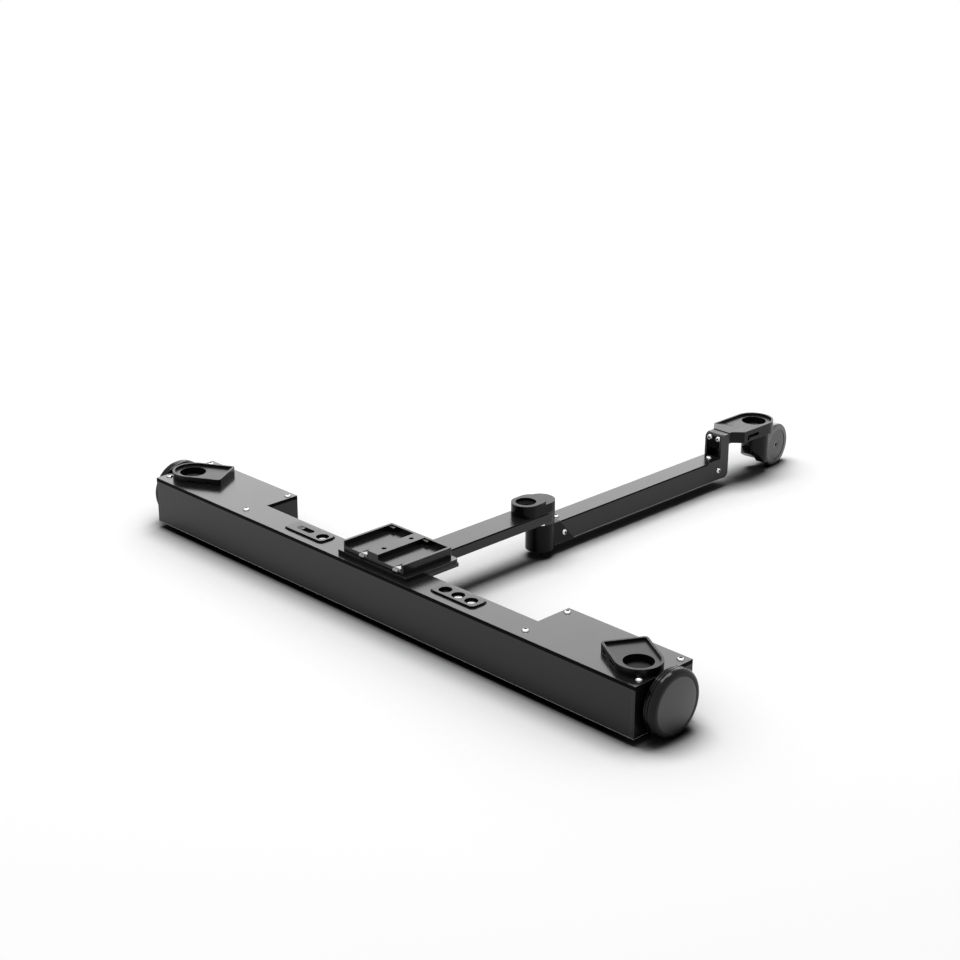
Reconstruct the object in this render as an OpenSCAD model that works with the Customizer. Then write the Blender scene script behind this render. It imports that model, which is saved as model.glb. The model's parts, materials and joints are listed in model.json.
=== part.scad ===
// Motorized dolly that carries a camera tripod on three foot cups.
// Written in beam coordinates: x along the beam, y back from its front face,
// z up from its underside. place() then sets the model on the floor, centred.

/* [Beam] */
// Length of the beam over its end plates
beam_len = 850; // [780:5:920]
// Height of the beam with its top cover
beam_h = 62.5; // [60:0.5:68]
// Depth of the slim middle of the beam
mid_depth = 43; // [41:1:48]
// Depth of the two end blocks
end_depth = 94; // [92:1:102]
// Length of each end block
end_len = 182; // [160:1:200]
// Thickness of the beam walls
wall = 3; // [2:0.5:4]
// Thickness of the top cover
cover_t = 2; // [1.5:0.25:3]
// Thickness of each end plate
end_plate_t = 4; // [3:0.5:6]
// Height of the shadow groove under the cover
groove_h = 1; // [0.5:0.25:2]

/* [Drive wheels] */
// Diameter of the drive wheels
wheel_d = 80; // [76:1:90]
// Width of the drive wheels
wheel_w = 15; // [12:0.5:20]
// Gap between the end plate and the wheel
wheel_gap = 4.3; // [3:0.1:7]
// Radius of the domed hub cap
hub_cap_r = 32; // [30:0.5:33]
// How far the hub cap domes outwards
hub_cap_dome = 2.2; // [1:0.1:4]
// Radius of the drive shafts
shaft_r = 4; // [3:0.25:5]
// Radius of the gear motors
motor_r = 18; // [14:0.5:20]
// Length of the gear motors
motor_len = 74; // [55:1:95]

/* [Foot cups] */
// Distance of each front pocket from the end of the beam
cup_inset = 29.5; // [29:0.5:36]
// Distance of each front pocket from the front face
cup_y = 39; // [38.5:0.5:44]
// Half width of a front cup, and radius of its round end
cup_r = 27.2; // [25:0.1:27.6]
// Length of a cup from its pocket to its square end
cup_reach = 50; // [42:1:60]
// Height of the front cups over the top cover
cup_h = 9.5; // [8.5:0.25:13]
// Depth of the shallow tray inside a cup's rim
cup_recess = 3.2; // [2:0.1:4]
// Thickness of a cup's rim
cup_rim = 2.8; // [2:0.1:4]
// Corner radius at the square end of a cup
cup_corner = 4.5; // [4:0.25:7]
// Radius of the pocket that takes a tripod foot
pocket_r = 17.5; // [14:0.5:19]
// Depth of the pocket under the cup's tray
pocket_depth = 9.5; // [7:0.5:10]
// Thickness of the rubber pad in a pocket
pad_t = 1.5; // [1:0.25:2]
// Angle between a front cup and the beam
cup_angle = 30; // [20:1:40]

/* [Controls] */
// Distance of the control panels from the middle of the beam
panel_x = 133.5; // [125:0.5:170]
// Distance of the control panels from the front face
panel_y = 24.4; // [23:0.2:26]
// Length of a control panel
panel_len = 70; // [68:1:80]
// Width of a control panel
panel_w = 23.6; // [22:0.2:26]
// Height of a control panel over the cover
panel_h = 1.3; // [0.8:0.1:2]
// Spacing of the round controls
control_pitch = 21.5; // [19:0.5:23]
// Radius of the wells around the buttons
well_r = 8.2; // [7.5:0.1:8.6]
// Depth from a panel's face to a button's top
button_sink = 2.4; // [1.5:0.1:2.8]
// Travel of the push buttons
button_travel = 1.2; // [0.8:0.1:2]
// Length of the power switch slot
slot_len = 29; // [24:0.5:31]
// Width of the power switch slot
slot_w = 9.5; // [8:0.1:11]
// Length of the power switch knob
knob_len = 10.5; // [9:0.25:13]

/* [Battery tray] */
// Width of the base plate
base_w = 125; // [118:1:140]
// Thickness of the base plate
base_t = 5.2; // [4.5:0.1:7]
// Distance of the base plate's front edge from the front face
base_front = 8; // [4:0.5:9]
// Depth of the base plate from front to back
base_depth = 85.5; // [84:0.5:95]
// Corner radius of the base plate
base_corner = 4; // [2:0.5:6]
// Width of the battery tray
tray_w = 108; // [104:0.5:112]
// Distance of the tray's front from the front face
tray_front = 11; // [10:0.5:12]
// Depth of the tray from front to back
tray_depth = 79.5; // [78:0.5:80]
// Height of the tray over the base plate
tray_h = 13.1; // [12:0.1:16]
// Thickness of the tray's floor
tray_floor = 6.3; // [5.5:0.1:7]
// Width of one battery bay
bay_w = 41; // [39:0.25:42]
// Thickness of the tray's back wall
tray_back = 3.5; // [2.5:0.25:5]
// Travel of the battery latches
latch_travel = 1.8; // [1.2:0.1:2]

/* [Arms] */
// Width of the front arm
arm_w = 38.4; // [34:0.2:44]
// Thickness of the front arm
arm_t = 14.3; // [12:0.1:15]
// Thickness of the clamp block over the front arm
clamp_t = 5; // [4:0.25:7]
// Distance of the fold hinge from the front face
hinge_y = 301; // [260:1:340]
// Radius of the fold hinge pin
pin_r = 6; // [5:0.25:7]
// Height of the fold hinge's lower barrel
barrel_h = 37.5; // [36:0.25:38]
// Thickness of the thrust washer in the fold hinge
washer_t = 3.3; // [3:0.1:4]
// Height of the cap over the front arm
cap_h = 16.2; // [15:0.2:20]
// Distance from the lock button to the fold hinge
lock_offset = 27; // [24:0.5:30]
// Radius of the lock button's recess
lock_r = 13.5; // [11:0.25:14]
// Travel of the lock button
lock_travel = 2.5; // [1.5:0.1:3]
// Width of the rear arm
rear_w = 29; // [27:0.2:32]
// Height of the rear arm
rear_h = 31; // [28:0.2:31]
// Wall of the rear arm's tube
tube_t = 2.5; // [2:0.1:3]
// Distance of the riser's front from the front face
riser_y = 657; // [620:1:680]
// Depth of the riser from front to back
riser_d = 18; // [16:0.5:22]

/* [Rear cup and caster] */
// Distance of the rear pocket from the front face
rear_cup_y = 750; // [748:1:765]
// Half width of the rear cup
rear_cup_r = 28; // [26:0.5:30]
// Thickness of the rear cup with its rim
rear_cup_t = 16.5; // [16:0.25:18]
// Distance of the swivel axis from the front face
swivel_y = 756; // [754:1:770]
// Radius of the caster's round yoke
yoke_r = 20; // [18:0.5:21]
// Radius of the swivel post
post_r = 5; // [4:0.25:6]
// Diameter of the rear wheel
rear_wheel_d = 63; // [56:0.5:63]
// Width of the rear wheel
rear_wheel_w = 10.7; // [9:0.1:12]
// Distance of the rear wheel's axle behind the swivel axis
trail = 38; // [36:0.5:42]
// Sideways distance of the rear wheel from the swivel axis
wheel_offset = 8.8; // [8.4:0.1:10]
// Angle that the caster stands at
caster_turn = 6.7; // [0:0.1:20]

/* [Fits] */
// Running clearance round shafts and pins
run_fit = 0.05; // [0.02:0.01:0.1]
// Clearance round moving blocks and caps
slide_fit = 0.3; // [0.25:0.05:0.6]
// Radius of the screw shanks
screw_r = 2; // [1.5:0.25:2]
// Radius of the button screw heads
head_r = 3.8; // [3.2:0.1:4]
// Height of the button screw heads
head_h = 2.2; // [1.6:0.1:2.6]

/* [Hidden] */
$fn = 64;
hex_sides = 6;
eps = 0.01;
cut = 1;
end_x = beam_len / 2;
shell_x = end_x - end_plate_t;
notch_x = end_x - end_len;
shell_top = beam_h - cover_t;
wheel_z = beam_h / 2;
wheel_y = end_depth / 2;
wheel_r = wheel_d / 2;
ground_gap = wheel_r - beam_h / 2;
wheel_in = end_x + wheel_gap;
wheel_out = wheel_in + wheel_w;
bearing_r = 11;
bearing_w = 7;
boss_r = motor_r + 0.5;
boss_len = 20;
motor_face = shell_x - boss_len;
motor_grip = 10;
cup_x = end_x - cup_inset;
cup_floor = beam_h + cup_h - cup_recess;
spigot_r = pocket_r + 3;
spigot_floor = 2.5;
pad_r = pocket_r - 2;
spigot_bottom = cup_floor - pocket_depth - pad_t - spigot_floor;
screw_len = 8;
screw_inset = 8.5;
screw_front = 15.3;
screw_back = 10.3;
screw_spots = [for (s = [-1, 1], x = [end_x - screw_inset, notch_x + 7.3],
                    y = [screw_front, end_depth - screw_back]) [s * x, y]];
screw_post_r = 4.5;
panel_z = beam_h + panel_h;
panel_corner = 6;
panel_box_len = panel_len - 6;
panel_box_w = panel_w - 4;
panel_box_h = 12;
socket_depth = 8;
button_r = well_r - 0.5;
button_t = 3;
stem_r = 3;
stem_len = 6;
button_z = panel_z - button_sink;
slot_x = -8;
slot_depth = 2.6;
left_button_x = 24.5;
knob_w = slot_w - 2 * slide_fit;
knob_rise = 0.6;
knob_neck_w = 4;
knob_neck_len = 6;
knob_travel = slot_len - knob_len - 2 * slide_fit;
base_z = beam_h;
base_top = base_z + base_t;
base_back = base_front + base_depth;
base_gap_h = 0.8;
base_gap_in = 0.8;
bay_floor = base_top + tray_floor;
tray_top = base_top + tray_h;
tray_side = 3.5;
bay_x = tray_w / 2 - tray_side - bay_w / 2;
bay_back = tray_front + tray_depth - tray_back;
latch_gap_len = 13;
latch_gap_d = 14.3;
latch_len = 9.5;
latch_in = 1;
latch_back = tray_front + 11.2;
latch_drop = 2;
latch_plate = 1.5;
latch_stem = [tray_front + 3, tray_front + 9];
latch_toe = [base_front + 0.3, tray_front - 0.6];
latch_toe_h = 4;
latch_toe_len = 8.5;
latch_toe_shift = 2;
terminal_len = 8;
terminal_d = 5;
terminal_h = 5.5;
terminal_sink = 0.5;
screw_pitch = 44.5;
tray_screw_y = [tray_front + 18.3, tray_front + 18.3 + screw_pitch];
arm_top = beam_h - clamp_t;
arm_bottom = arm_top - arm_t;
arm_root = mid_depth + 0.5;
arm_end_r = arm_w / 2;
arm_bolt_r = 3;
arm_bolt_head = 5;
arm_bolt_rise = 4;
arm_bolts_at = [for (x = [-11, 11], y = [arm_root + 11, base_back - 10]) [x, y]];
barrel_top = arm_bottom - washer_t - slide_fit;
barrel_bottom = barrel_top - barrel_h;
barrel_r = arm_w / 2 - 0.2;
rear_top = barrel_top - 2.6;
rear_bottom = rear_top - rear_h;
bush_r = pin_r + 3;
pin_flange_r = pin_r + 3.2;
pin_flange_t = 3.2;
pin_sink = 4;
cap_top = arm_top + cap_h;
cap_step = 3.7;
lock_y = hinge_y - lock_offset;
cap_round_y = lock_y + 10;
lock_sink = 3.5;
lock_t = 4.2;
pin_top = cap_top - cap_step - 4;
seam_top = hinge_y + 23;
seam_bottom = hinge_y + 50;
seam_gap = 0.15;
tongue_len = 74;
tongue_end = hinge_y + tongue_len;
plug_len = 27;
riser_back = riser_y + riser_d;
riser_cheek = 3;
riser_sink = 1.5;
riser_plate = 3;
riser_wall = 4;
riser_window = rear_top + 13;
riser_corner = 8;
rear_rim = beam_h + cup_h;
rear_floor = rear_rim - cup_recess;
rear_bottom_z = rear_rim - rear_cup_t;
riser_top = rear_rim - 1;
riser_screw_z = riser_top - 6.4;
riser_screw_x = 7.5;
neck_y = riser_back + 5.4;
shoulder_y = neck_y + 12.6;
rear_slot_len = 27;
rear_slot_h = 5;
rear_slot_deep = 5;
ramp_start = shoulder_y - 2;
ramp_end = ramp_start + 20;
axle_z = rear_wheel_d / 2 - ground_gap;
axle_r = 3;
hub_dish_r = 60;
hub_hole_r = 2.4;
hub_hole_deep = 4;
flange_r = 16;
flange_t = 2.5;
yoke_top = rear_bottom_z - flange_t - 0.5;
yoke_bottom = 7.5;
post_end = yoke_top - 16;
swivel_bush_r = post_r + 2.5;
cheek_out = -12;
cheek_in = wheel_offset - rear_wheel_w / 2 - 0.9;
cheek_boss_r = 10;
yoke_split = 5;
yoke_cut_y = 3.3;
yoke_cut_slope = 1.3;
yoke_notch = [[-22, 38], [-14.5, 28.5], [-22, 20]];
yoke_lip = [-17, 20];
yoke_lip_slope = 0.57;
caster_c = cos(caster_turn);
caster_s = sin(caster_turn);
rear_shoulder = 3;
part_back = swivel_y + (trail + rear_wheel_d / 2 - rear_shoulder) * caster_c
            + (wheel_offset + rear_wheel_w / 2 - rear_shoulder) * caster_s + rear_shoulder;

// Shared shapes
module place() {
    translate([0, -part_back / 2, ground_gap]) children();
}
module side(s) {
    if (s < 0) mirror([1, 0, 0]) children();
    else children();
}
module block(x, y, z) {
    translate([x[0], y[0], z[0]]) cube([x[1] - x[0], y[1] - y[0], z[1] - z[0]]);
}
module rod(r, z0, z1) {
    translate([0, 0, z0]) cylinder(r = r, h = z1 - z0);
}
module ring(r_out, r_in, z0, z1) {
    difference() {
        rod(r_out, z0, z1);
        rod(r_in, z0 - cut, z1 + cut);
    }
}
// A flat shape in the y-z plane, drawn from x0 to x1
module profile_x(x0, x1) {
    translate([x0, 0, 0]) rotate([90, 0, 90]) linear_extrude(x1 - x0) children();
}
module rounded(w, d, r) {
    square([w - 2 * r, d], center = true);
    square([w, d - 2 * r], center = true);
    for (x = [-1, 1], y = [-1, 1]) translate([x * (w / 2 - r), y * (d / 2 - r)]) circle(r);
}
module obround(len, w) {
    square([len - w, w], center = true);
    for (x = [-1, 1]) translate([x * (len - w) / 2, 0]) circle(w / 2);
}
module beam_outline(inset, ends) {
    polygon([[-ends, inset], [ends, inset], [ends, end_depth - inset],
        [notch_x + inset, end_depth - inset], [notch_x + inset, mid_depth - inset],
        [-notch_x - inset, mid_depth - inset], [-notch_x - inset, end_depth - inset],
        [-ends, end_depth - inset]]);
}
// Button head screw that stands at the origin, its head up
module button_screw(len = screw_len) {
    dome = [for (a = [0:15:75]) [head_r * cos(a), head_h * (0.35 + 0.65 * sin(a))]];
    difference() {
        rotate_extrude() polygon(concat([[0, 0], [head_r, 0]], dome, [[0, head_h]]));
        rod_hex(1.25, head_h - 1.3, head_h + cut);
    }
    rod(screw_r, -len, 0);
}
module rod_hex(r, z0, z1) {
    translate([0, 0, z0]) cylinder(r = r, h = z1 - z0, $fn = hex_sides);
}
// Outline of a cup: round about the pocket, square at the far end
module cup_outline(r, reach, corner) {
    circle(r);
    translate([0, -r]) square([reach - corner, 2 * r]);
    translate([0, corner - r]) square([reach, 2 * (r - corner)]);
    for (y = [-1, 1]) translate([reach - corner, y * (r - corner)]) circle(corner);
}

// Beam
module beam_shell() color("#1c1d1f") difference() {
    union() {
        difference() {
            union() {
                linear_extrude(shell_top - groove_h) beam_outline(0, shell_x);
                linear_extrude(shell_top) beam_outline(groove_h, shell_x);
            }
            translate([0, 0, wall]) linear_extrude(beam_h) beam_outline(wall, beam_len);
        }
        for (p = screw_spots) translate(p) rod(screw_post_r, wall - eps, shell_top);
        for (p = base_screw_spots) translate(p) rod(screw_post_r, wall - eps, shell_top);
    }
    for (p = screw_spots) translate(p) rod(screw_r + 0.1, shell_top - 12, beam_h);
    for (p = base_screw_spots) translate(p) rod(screw_r + 0.1, shell_top - 12, beam_h);
    for (x = board_posts_x, y = board_posts_y) translate([x, y]) rod(1.3, wall - 2, wall + cut);
}
module top_cover() color("#26272a") difference() {
    translate([0, 0, shell_top]) linear_extrude(cover_t) beam_outline(0, end_x);
    for (p = screw_spots) translate(p) rod(screw_r + 0.2, 0, beam_h + cut);
    for (p = base_screw_spots) translate(p) rod(screw_r + 0.2, 0, beam_h + cut);
    for (s = [-1, 1]) translate([s * cup_x, cup_y]) rod(spigot_r + 0.2, 0, beam_h + cut);
    for (s = [-1, 1]) translate([s * panel_x, panel_y, shell_top - cut])
        linear_extrude(cover_t + 2 * cut) rounded(panel_box_len + 0.4, panel_box_w + 0.4, 2.2);
}
module cover_screws() color("silver")
    for (p = screw_spots) translate([p[0], p[1], beam_h]) button_screw(cover_t + screw_len);
module end_plate() color("#1c1d1f") difference() {
    union() {
        block([shell_x, end_x], [0, end_depth], [0, shell_top]);
        wheel_frame() rod(boss_r, motor_face, shell_x + eps);
    }
    wheel_frame() {
        rod(bearing_r + 0.02, shell_x - bearing_w, end_x + cut);
        rod(bearing_r - 2.5, motor_face - cut, end_x);
        for (a = [45:90:315]) rotate(a) translate([motor_r - 3.5, 0])
            rod(1.3, motor_face - cut, motor_face + 7);
    }
}
// Wheel axis at the right end: local z runs out along the shaft
module wheel_frame() translate([0, wheel_y, wheel_z]) rotate([0, 90, 0]) children();

// Foot cups
module cup_slots(r, z0) {
    for (y = [-1, 1], s = [[2, 16], [30, 41]])
        block([s[0], s[1]], y > 0 ? [r - 4, r + cut] : [-r - cut, 4 - r], [z0, z0 + 3.4]);
}
module front_cup() color("#2a2b2e") translate([cup_x, cup_y]) rotate(180 - cup_angle) difference() {
    union() {
        translate([0, 0, beam_h]) linear_extrude(cup_h) cup_outline(cup_r, cup_reach, cup_corner);
        rod(spigot_r, spigot_bottom, beam_h + eps);
    }
    translate([0, 0, cup_floor]) linear_extrude(cup_recess + cut)
        cup_outline(cup_r - cup_rim, cup_reach - cup_rim, cup_corner - cup_rim + 0.6);
    foot_pocket(cup_floor);
    cup_slots(cup_r, beam_h + 1.2);
}
// Pocket for a tripod foot, with the seat of its rubber pad
module foot_pocket(floor_z) {
    rod(pocket_r, floor_z - pocket_depth, floor_z + cut);
    rod(pad_r, floor_z - pocket_depth - pad_t, floor_z);
}
module foot_pad(floor_z) color("#3a3a3a")
    rod(pad_r - 0.1, floor_z - pocket_depth - pad_t, floor_z - pocket_depth);
module rear_cup_outline(inset) {
    r = rear_cup_r - inset;
    n = rear_w / 2 - inset;
    translate([0, rear_cup_y]) circle(r);
    polygon([[-n, riser_back], [n, riser_back], [n, neck_y + inset / 2], [r, shoulder_y + inset / 2],
        [r, rear_cup_y], [-r, rear_cup_y], [-r, shoulder_y + inset / 2], [-n, neck_y + inset / 2]]);
}
module foot_cup_rear() color("#2a2b2e") difference() {
    union() {
        translate([0, 0, rear_bottom_z]) linear_extrude(rear_cup_t) rear_cup_outline(0);
        block([-rear_w / 2 + riser_cheek + 0.1, rear_w / 2 - riser_cheek - 0.1],
            [riser_y + riser_sink + riser_plate + 0.1, riser_back + eps], [rear_bottom_z, riser_top]);
    }
    intersection() {
        translate([0, 0, rear_bottom_z]) linear_extrude(rear_cup_t + cut) rear_cup_outline(cup_rim);
        profile_x(-rear_cup_r, rear_cup_r) polygon([[ramp_start, rear_rim + eps], [ramp_end, rear_floor],
            [part_back, rear_floor], [part_back, rear_rim + cut], [ramp_start, rear_rim + cut]]);
    }
    translate([0, rear_cup_y]) foot_pocket(rear_floor);
    for (s = [-1, 1]) side(s) profile_x(rear_cup_r - rear_slot_deep, rear_cup_r + cut) {
        translate([shoulder_y + 20.5, rear_floor - 5.9]) obround(rear_slot_len, rear_slot_h);
        translate([shoulder_y + 7.2, rear_floor - 11.6]) square([4.6, 6]);
    }
    for (s = [-1, 1]) translate([s * riser_screw_x, riser_y, riser_screw_z]) rotate([-90, 0, 0])
        rod(screw_r + 0.1, 0, 14);
}

// Controls
module panel_plate() {
    translate([0, 0, beam_h]) linear_extrude(panel_h) rounded(panel_len, panel_w, panel_corner);
    translate([0, 0, shell_top - panel_box_h + cover_t]) linear_extrude(panel_box_h + eps)
        rounded(panel_box_len, panel_box_w, 2);
}
module button_well(x) translate([x, 0]) {
    rod(well_r, button_z - button_t - button_travel - 0.3, panel_z + cut);
    rod(stem_r + run_fit, 0, panel_z);
}
module control_panel_left() color("#232427") translate([-panel_x, panel_y]) difference() {
    panel_plate();
    button_well(left_button_x);
    translate([slot_x, 0, panel_z - slot_depth]) linear_extrude(slot_depth + cut) obround(slot_len, slot_w);
    translate([slot_x, 0, 0]) linear_extrude(panel_z)
        obround(knob_travel + knob_neck_len + 2 * slide_fit, knob_neck_w + 2 * slide_fit);
}
module control_panel_right() color("#232427") translate([panel_x, panel_y]) difference() {
    panel_plate();
    button_well(0);
    button_well(control_pitch);
    translate([-control_pitch, 0]) difference() {
        rod(well_r, panel_z - socket_depth, panel_z + cut);
        rod(3.4, panel_z - socket_depth - cut, panel_z - 2);
        for (a = [0:72:288]) rotate(a) translate([5.4, 0]) rod(0.8, panel_z - socket_depth - cut, panel_z - 3);
    }
}
module push_button() color("#b9bcc0") {
    translate([0, 0, button_z]) difference() {
        rod(button_r, -button_t, 0);
        translate([0, 0, 26]) sphere(26.4);
    }
    rod(stem_r, button_z - button_t - stem_len, button_z - button_t + eps);
}
module power_switch_knob() color("#8d9094") translate([-panel_x + slot_x - knob_travel / 2, panel_y]) {
    difference() {
        translate([0, 0, panel_z - slot_depth + 0.15])
            linear_extrude(slot_depth + knob_rise - 0.15) obround(knob_len, knob_w);
        for (x = [-2, 0, 2])
            block([x - 0.4, x + 0.4], [-knob_w, knob_w], [panel_z + knob_rise - 0.5, panel_z + 2]);
    }
    translate([0, 0, shell_top - 6]) linear_extrude(6 + cover_t + panel_h - slot_depth + 0.3)
        obround(knob_neck_len, knob_neck_w);
}

// Battery tray and its base
base_screw_spots = [for (x = [-46, 46], y = [25, mid_depth - 8]) [x, y]];
module base_plate() color("#26272a") difference() {
    union() {
        translate([0, base_front + base_depth / 2, base_z + base_gap_h])
            linear_extrude(base_t - base_gap_h) rounded(base_w, base_depth, base_corner);
        translate([0, base_front + base_depth / 2, base_z]) linear_extrude(base_t)
            rounded(base_w - 2 * base_gap_in, base_depth - 2 * base_gap_in, base_corner);
    }
    for (p = base_screw_spots) translate(p) {
        rod(screw_r + 0.2, base_z - cut, base_top);
        rod(head_r + 0.2, base_top - 2.6, base_top + cut);
    }
    for (y = tray_screw_y) translate([0, y]) rod(1.35, base_z - cut, base_top + cut);
    for (s = [-1, 1]) latch_stem_block(s, latch_travel + slide_fit, slide_fit);
}
module base_plate_screws() color("silver")
    for (p = base_screw_spots) translate([p[0], p[1], base_top - 2.5]) button_screw(base_t + cover_t + 5);
// Right edge of a bay, where its latch sits
function bay_right(s) = s * bay_x + bay_w / 2;
function latch_x(s) = [bay_right(s) - latch_in - latch_len, bay_right(s) - latch_in];
module latch_stem_block(s, deeper, grow)
    block([latch_x(s)[0] + 2 - grow, latch_x(s)[1] - 2 + grow], [latch_stem[0] - grow, latch_stem[1] + grow],
        [base_top - 0.5 - deeper, bay_floor - latch_drop]);
module battery_tray() color("#2a2b2e") difference() {
    translate([0, tray_front + tray_depth / 2, base_top])
        linear_extrude(tray_h) rounded(tray_w, tray_depth, 2);
    for (s = [-1, 1]) {
        block([s * bay_x - bay_w / 2, s * bay_x + bay_w / 2], [tray_front - cut, bay_back],
            [bay_floor, tray_top + cut]);
        block([bay_right(s) - latch_gap_len, bay_right(s)], [tray_front - cut, tray_front + latch_gap_d],
            [base_top - cut, bay_floor + cut]);
        block([s * bay_x - bay_w / 2, s * bay_x - bay_w / 2 + terminal_len + 2.2],
            [bay_back - terminal_d - 1, bay_back], [bay_floor - terminal_sink, bay_floor + cut]);
    }
    for (y = tray_screw_y) translate([0, y]) {
        rod(1.7, base_top - cut, tray_top);
        rod(3.2, tray_top - 4, tray_top + cut);
    }
}
module tray_screws() color("#55585c") for (y = tray_screw_y) translate([0, y]) difference() {
    union() {
        rod(2.8, tray_top - 4, tray_top - 1.5);
        rod(1.3, base_z + 1, tray_top - 3.9);
    }
    rod_hex(1.3, tray_top - 3, tray_top);
}
module battery_terminals() color("#c9a24a") for (s = [-1, 1]) {
    x0 = s * bay_x - bay_w / 2 + 1.2;
    difference() {
        block([x0, x0 + terminal_len], [bay_back - terminal_d, bay_back],
            [bay_floor - terminal_sink, bay_floor + terminal_h]);
        for (i = [0, 1]) block([x0 + 1.6 + 3 * i, x0 + 3 + 3 * i],
            [bay_back - terminal_d - cut, bay_back - 1.5], [bay_floor + 1.5, bay_floor + terminal_h + cut]);
    }
}
// Sloping plate with a stem in the base plate and a toe in front of the tray
module battery_latch(s) color("#c4c7ca") {
    x = latch_x(s);
    profile_x(x[0], x[1]) polygon([[tray_front - 0.8, bay_floor - 0.5], [tray_front - 0.8, bay_floor + 0.7],
        [tray_front - 0.2, bay_floor + 1.2], [latch_back, bay_floor + 1.2 - latch_drop],
        [latch_back, bay_floor + 1.2 - latch_drop - latch_plate], [tray_front + 2, bay_floor - 1.9],
        [tray_front + 2, bay_floor - latch_toe_h + 1.4], [latch_toe[1] - eps, bay_floor - latch_toe_h + 1.4],
        [latch_toe[1] - eps, bay_floor - 0.5]]);
    latch_stem_block(s, 0, 0);
    profile_x(x[0] - latch_toe_shift, x[0] - latch_toe_shift + latch_toe_len)
        polygon([[latch_toe[0], bay_floor - latch_toe_h + 0.8], [latch_toe[0] + 0.8, bay_floor - latch_toe_h],
            [latch_toe[1], bay_floor - latch_toe_h], [latch_toe[1], bay_floor - 0.5],
            [latch_toe[0] + 1.2, bay_floor - 0.5], [latch_toe[0], bay_floor - 1.7]]);
}

// Front arm and fold hinge
module arm_clamp() color("#26272a") difference() {
    block([-base_w / 2, base_w / 2], [arm_root, base_back], [arm_top, beam_h]);
    for (p = arm_bolts_at) translate(p) rod(arm_bolt_r + 0.1, arm_top - cut, beam_h + cut);
}
module arm_bolts() color("#55585c") for (p = arm_bolts_at) translate(p) difference() {
    union() {
        rod(arm_bolt_r, arm_bottom - eps, beam_h - 0.5);
        rod(arm_bolt_head, arm_bottom - arm_bolt_rise, arm_bottom);
    }
    rod_hex(2.9, arm_bottom - arm_bolt_rise - cut, arm_bottom - 1.2);
}
module front_arm() color("#232427") difference() {
    translate([0, 0, arm_bottom]) linear_extrude(arm_t) {
        translate([-arm_w / 2, arm_root]) square([arm_w, hinge_y - arm_root]);
        translate([0, hinge_y]) circle(arm_end_r);
    }
    for (p = arm_bolts_at) translate(p) rod(arm_bolt_r + 0.1, 0, beam_h);
    translate([0, hinge_y]) rod(pin_r + run_fit, 0, beam_h);
}
module hinge_cap() color("#1f2023") difference() {
    translate([0, 0, arm_top]) {
        linear_extrude(cap_h - cap_step) {
            translate([-arm_end_r, lock_y]) square([2 * arm_end_r, lock_offset]);
            for (y = [lock_y, hinge_y]) translate([0, y]) circle(arm_end_r);
        }
        linear_extrude(cap_h) {
            translate([-arm_end_r, lock_y]) square([2 * arm_end_r, cap_round_y - lock_y]);
            for (y = [lock_y, cap_round_y]) translate([0, y]) circle(arm_end_r);
        }
    }
    translate([0, lock_y]) rod(lock_r, cap_top - lock_sink - lock_t - lock_travel - 1, cap_top + cut);
    translate([0, hinge_y]) rod(pin_r + run_fit, 0, pin_top + 0.4);
}
module lock_button() color("#303236") translate([0, lock_y]) difference() {
    rod(lock_r - slide_fit, cap_top - lock_sink - lock_t, cap_top - lock_sink);
    translate([0, 0, cap_top - lock_sink + 38]) sphere(39.4);
    block([-0.9, 0.9], [-7, 7], [cap_top - lock_sink - 2.4, cap_top]);
}
module hinge_pin() color("silver") translate([0, hinge_y]) {
    rod(pin_r, barrel_bottom + pin_sink - eps, pin_top);
    difference() {
        rod(pin_flange_r, barrel_bottom + pin_sink - pin_flange_t, barrel_bottom + pin_sink);
        rod_hex(3, barrel_bottom - cut, barrel_bottom + pin_sink - 1);
    }
}
module thrust_washer() color("#b58a4a") translate([0, hinge_y]) difference() {
    ring(barrel_r, pin_r + run_fit, arm_bottom - washer_t, arm_bottom);
    rotate(stop_angle) block([barrel_r - 4.2, barrel_r + cut], [-3.2, 3.2], [0, beam_h]);
}
stop_angle = -37;
module fold_stop() color("silver") translate([0, hinge_y]) rotate(stop_angle)
    block([barrel_r - 4, barrel_r + 0.6], [-3, 3], [arm_bottom - washer_t + 0.2, arm_bottom]);
module hinge_barrel() color("#1f2023") difference() {
    union() {
        translate([0, hinge_y]) rod(barrel_r, barrel_bottom, barrel_top);
        profile_x(-rear_w / 2, rear_w / 2) polygon([[hinge_y, rear_bottom],
            [seam_bottom - seam_gap, rear_bottom], [seam_top - seam_gap, rear_top], [hinge_y, rear_top]]);
        block([-rear_w / 2 + tube_t + 0.1, rear_w / 2 - tube_t - 0.1], [hinge_y, tongue_end],
            [rear_bottom + tube_t + 0.1, rear_top - tube_t - 0.1]);
    }
    translate([0, hinge_y]) {
        rod(bush_r + 0.02, barrel_bottom + pin_sink, barrel_top + cut);
        rod(pin_flange_r + slide_fit, barrel_bottom - cut, barrel_bottom + pin_sink + eps);
    }
    rear_arm_screw_holes();
}
module hinge_bush() color("#b58a4a") translate([0, hinge_y])
    ring(bush_r, pin_r + run_fit, barrel_bottom + pin_sink + 0.3, barrel_top);

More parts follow.
